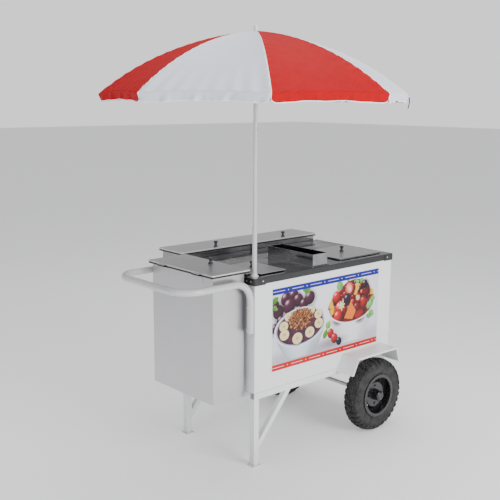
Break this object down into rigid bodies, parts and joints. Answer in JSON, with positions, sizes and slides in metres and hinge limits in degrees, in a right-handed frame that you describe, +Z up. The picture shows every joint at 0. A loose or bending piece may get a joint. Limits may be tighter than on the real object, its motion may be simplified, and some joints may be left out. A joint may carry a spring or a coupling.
{
  "type": "push vending cart",
  "caption": "Two-wheeled push food cart with a steel counter, lidded cold boxes, lift-off deck lids, bent tube push handle and a folding striped parasol.",
  "frame": {"origin": "on the floor under the centre of the overall box", "axes": "+X along the cart towards the wheels, +Y towards the hanging rear boxes, +Z up"},
  "size_m": [1.6062, 1.3822, 2.004],
  "materials": {
    "white_paint": "semi-gloss white paint",
    "panel_white": "smooth white coated sheet",
    "stainless": "brushed stainless sheet",
    "polished_steel": "polished stainless sheet",
    "lid_sheet": "satin metal skin over foam",
    "zinc": "zinc-plated steel",
    "cleat_metal": "plain channel",
    "black_trim": "satin black extrusion",
    "black_plastic": "moulded black plastic",
    "black_rubber": "black foam rubber",
    "tyre": "black rubber with raised knobs",
    "black_paint": "satin black paint",
    "foam": "rigid foam",
    "graphic": null,
    "umbrella_plastic": "moulded white plastic",
    "white_pole": "gloss white paint",
    "rib_steel": "light grey coated steel",
    "canopy_cloth": "red and white panels of light coated polyester"
  },
  "bodies": {
    "cart": {"chassis_frame": "white_paint", "support_legs": "white_paint", "foot_plates": "white_paint", "side_panels": "panel_white", "end_panels": "panel_white", "floor_panel": "stainless", "deck": "polished_steel", "edge_trim": "black_trim", "corner_caps": "black_plastic", "fasteners": "zinc", "lid_gaskets": "black_rubber", "deck_wells": "stainless", "centre_trough": "polished_steel", "side_box_shell": "stainless", "rear_box_shells": "stainless", "box_insulation": "foam", "box_liners": "stainless", "box_cleats": "cleat_metal", "push_handle": "white_paint", "fenders": "white_paint", "axle": "zinc", "wheel_bearings": "zinc", "graphic_panel": "graphic", "umbrella_socket": "umbrella_plastic"},
    "near_wheel": {"near_tyre": "tyre", "near_rim": "black_paint"},
    "far_wheel": {"far_tyre": "tyre", "far_rim": "black_paint"},
    "side_lid": {"side_box_lid": "lid_sheet", "side_box_knob": "black_plastic"},
    "rear_lid_left": {"rear_left_lid": "lid_sheet", "rear_left_knob": "black_plastic"},
    "rear_lid_right": {"rear_right_lid": "lid_sheet", "rear_right_knob": "black_plastic"},
    "deck_lid_left": {"flat_left_lid": "polished_steel", "flat_left_knob": "black_plastic"},
    "deck_lid_right": {"flat_right_lid": "polished_steel", "flat_right_knob": "black_plastic"},
    "umbrella_lower": {"lower_pole": "white_pole"},
    "umbrella_upper": {"upper_pole": "white_pole", "crown": "umbrella_plastic", "finial": "umbrella_plastic", "canopy": "canopy_cloth"},
    "umbrella_runner": {"runner": "umbrella_plastic"},
    "rib_1": {"rib_1": "rib_steel"},
    "stretcher_1": {"stretcher_1": "rib_steel"},
    "rib_2": {"rib_2": "rib_steel"},
    "stretcher_2": {"stretcher_2": "rib_steel"},
    "rib_3": {"rib_3": "rib_steel"},
    "stretcher_3": {"stretcher_3": "rib_steel"},
    "rib_4": {"rib_4": "rib_steel"},
    "stretcher_4": {"stretcher_4": "rib_steel"},
    "rib_5": {"rib_5": "rib_steel"},
    "stretcher_5": {"stretcher_5": "rib_steel"},
    "rib_6": {"rib_6": "rib_steel"},
    "stretcher_6": {"stretcher_6": "rib_steel"},
    "rib_7": {"rib_7": "rib_steel"},
    "stretcher_7": {"stretcher_7": "rib_steel"},
    "rib_8": {"rib_8": "rib_steel"},
    "stretcher_8": {"stretcher_8": "rib_steel"}
  },
  "joints": [
    {"name": "near_wheel_spin", "type": "hinge", "parent": "cart", "child": "near_wheel", "pos_m": [0.60809, -0.11991, 0.19], "axis": [0, 1, 0], "continuous": true},
    {"name": "far_wheel_spin", "type": "hinge", "parent": "cart", "child": "far_wheel", "pos_m": [0.60809, 0.53409, 0.19], "axis": [0, 1, 0], "continuous": true},
    {"name": "side_lid_hinge", "type": "hinge", "parent": "cart", "child": "side_lid", "pos_m": [-0.39391, 0.20709, 0.9293], "axis": [0, -1, 0], "range_deg": [0, 110]},
    {"name": "rear_lid_left_hinge", "type": "hinge", "parent": "cart", "child": "rear_lid_left", "pos_m": [0.07309, 0.68609, 0.9293], "axis": [-1, 0, 0], "range_deg": [0, 110]},
    {"name": "rear_lid_right_hinge", "type": "hinge", "parent": "cart", "child": "rear_lid_right", "pos_m": [0.55309, 0.68609, 0.9293], "axis": [-1, 0, 0], "range_deg": [0, 110]},
    {"name": "deck_lid_left_lift", "type": "slide", "parent": "cart", "child": "deck_lid_left", "axis": [0, 0, 1], "range_m": [0, 0.25]},
    {"name": "deck_lid_right_lift", "type": "slide", "parent": "cart", "child": "deck_lid_right", "axis": [0, 0, 1], "range_m": [0, 0.25]},
    {"name": "umbrella_lift", "type": "slide", "parent": "cart", "child": "umbrella_lower", "axis": [0, 0, 1], "range_m": [0, 0.2]},
    {"name": "umbrella_height", "type": "slide", "parent": "umbrella_lower", "child": "umbrella_upper", "axis": [0, 0, 1], "range_m": [-0.115, 0]},
    {"name": "runner_slide", "type": "slide", "parent": "umbrella_upper", "child": "umbrella_runner", "axis": [0, 0, -1], "range_m": [-0.0001, 0.51453]},
    {"name": "umbrella_fold", "type": "hinge", "parent": "umbrella_upper", "child": "rib_1", "pos_m": [-0.11305, -0.01482, 1.9655], "axis": [-0.1305, 0.9914, 0], "range_deg": [0, 66], "deforming": ["canopy"]},
    {"name": "stretcher_1_fold", "type": "hinge", "parent": "rib_1", "child": "stretcher_1", "pos_m": [0.21203, 0.02798, 1.89409], "axis": [0.1305, -0.9914, 0], "range_deg": [-0.01, 132.02]},
    {"name": "rib_2_fold", "type": "hinge", "parent": "umbrella_upper", "child": "rib_2", "pos_m": [-0.11917, -0.00421, 1.9655], "axis": [-0.7934, 0.6088, 0], "range_deg": [-0.01, 66.01]},
    {"name": "stretcher_2_fold", "type": "hinge", "parent": "rib_2", "child": "stretcher_2", "pos_m": [0.08043, 0.25591, 1.89409], "axis": [0.7934, -0.6088, 0], "range_deg": [-0.01, 132.02]},
    {"name": "rib_3_fold", "type": "hinge", "parent": "umbrella_upper", "child": "rib_3", "pos_m": [-0.131, -0.00105, 1.9655], "axis": [-0.9914, -0.1305, 0], "range_deg": [-0.01, 66.01]},
    {"name": "stretcher_3_fold", "type": "hinge", "parent": "rib_3", "child": "stretcher_3", "pos_m": [-0.17379, 0.32403, 1.89409], "axis": [0.9914, 0.1305, 0], "range_deg": [-0.01, 132.02]},
    {"name": "rib_4_fold", "type": "hinge", "parent": "umbrella_upper", "child": "rib_4", "pos_m": [-0.1416, -0.00717, 1.9655], "axis": [-0.6088, -0.7934, 0], "range_deg": [-0.01, 66.01]},
    {"name": "stretcher_4_fold", "type": "hinge", "parent": "rib_4", "child": "stretcher_4", "pos_m": [-0.40173, 0.19243, 1.89409], "axis": [0.6088, 0.7934, 0], "range_deg": [-0.01, 132.02]},
    {"name": "rib_5_fold", "type": "hinge", "parent": "umbrella_upper", "child": "rib_5", "pos_m": [-0.14477, -0.019, 1.9655], "axis": [0.1305, -0.9914, 0], "range_deg": [-0.01, 66.01]},
    {"name": "stretcher_5_fold", "type": "hinge", "parent": "rib_5", "child": "stretcher_5", "pos_m": [-0.46985, -0.06179, 1.89409], "axis": [-0.1305, 0.9914, 0], "range_deg": [-0.01, 132.02]},
    {"name": "rib_6_fold", "type": "hinge", "parent": "umbrella_upper", "child": "rib_6", "pos_m": [-0.13865, -0.0296, 1.9655], "axis": [0.7934, -0.6088, 0], "range_deg": [-0.01, 66.01]},
    {"name": "stretcher_6_fold", "type": "hinge", "parent": "rib_6", "child": "stretcher_6", "pos_m": [-0.33825, -0.28973, 1.89409], "axis": [-0.7934, 0.6088, 0], "range_deg": [-0.01, 132.02]},
    {"name": "rib_7_fold", "type": "hinge", "parent": "umbrella_upper", "child": "rib_7", "pos_m": [-0.12682, -0.03277, 1.9655], "axis": [0.9914, 0.1305, 0], "range_deg": [-0.01, 66.01]},
    {"name": "stretcher_7_fold", "type": "hinge", "parent": "rib_7", "child": "stretcher_7", "pos_m": [-0.08402, -0.35785, 1.89409], "axis": [-0.9914, -0.1305, 0], "range_deg": [-0.01, 132.02]},
    {"name": "rib_8_fold", "type": "hinge", "parent": "umbrella_upper", "child": "rib_8", "pos_m": [-0.11621, -0.02665, 1.9655], "axis": [0.6088, 0.7934, 0], "range_deg": [-0.01, 66.01]},
    {"name": "stretcher_8_fold", "type": "hinge", "parent": "rib_8", "child": "stretcher_8", "pos_m": [0.14391, -0.22625, 1.89409], "axis": [-0.6088, -0.7934, 0], "range_deg": [-0.01, 132.02]}
  ],
  "couplings": [
    {"joint": "runner_slide", "follows": "umbrella_fold", "m_per_rad": 0.4465},
    {"joint": "stretcher_1_fold", "follows": "umbrella_fold", "ratio": 2},
    {"joint": "rib_2_fold", "follows": "umbrella_fold", "ratio": 1},
    {"joint": "stretcher_2_fold", "follows": "umbrella_fold", "ratio": 2},
    {"joint": "rib_3_fold", "follows": "umbrella_fold", "ratio": 1},
    {"joint": "stretcher_3_fold", "follows": "umbrella_fold", "ratio": 2},
    {"joint": "rib_4_fold", "follows": "umbrella_fold", "ratio": 1},
    {"joint": "stretcher_4_fold", "follows": "umbrella_fold", "ratio": 2},
    {"joint": "rib_5_fold", "follows": "umbrella_fold", "ratio": 1},
    {"joint": "stretcher_5_fold", "follows": "umbrella_fold", "ratio": 2},
    {"joint": "rib_6_fold", "follows": "umbrella_fold", "ratio": 1},
    {"joint": "stretcher_6_fold", "follows": "umbrella_fold", "ratio": 2},
    {"joint": "rib_7_fold", "follows": "umbrella_fold", "ratio": 1},
    {"joint": "stretcher_7_fold", "follows": "umbrella_fold", "ratio": 2},
    {"joint": "rib_8_fold", "follows": "umbrella_fold", "ratio": 1},
    {"joint": "stretcher_8_fold", "follows": "umbrella_fold", "ratio": 2}
  ]
}
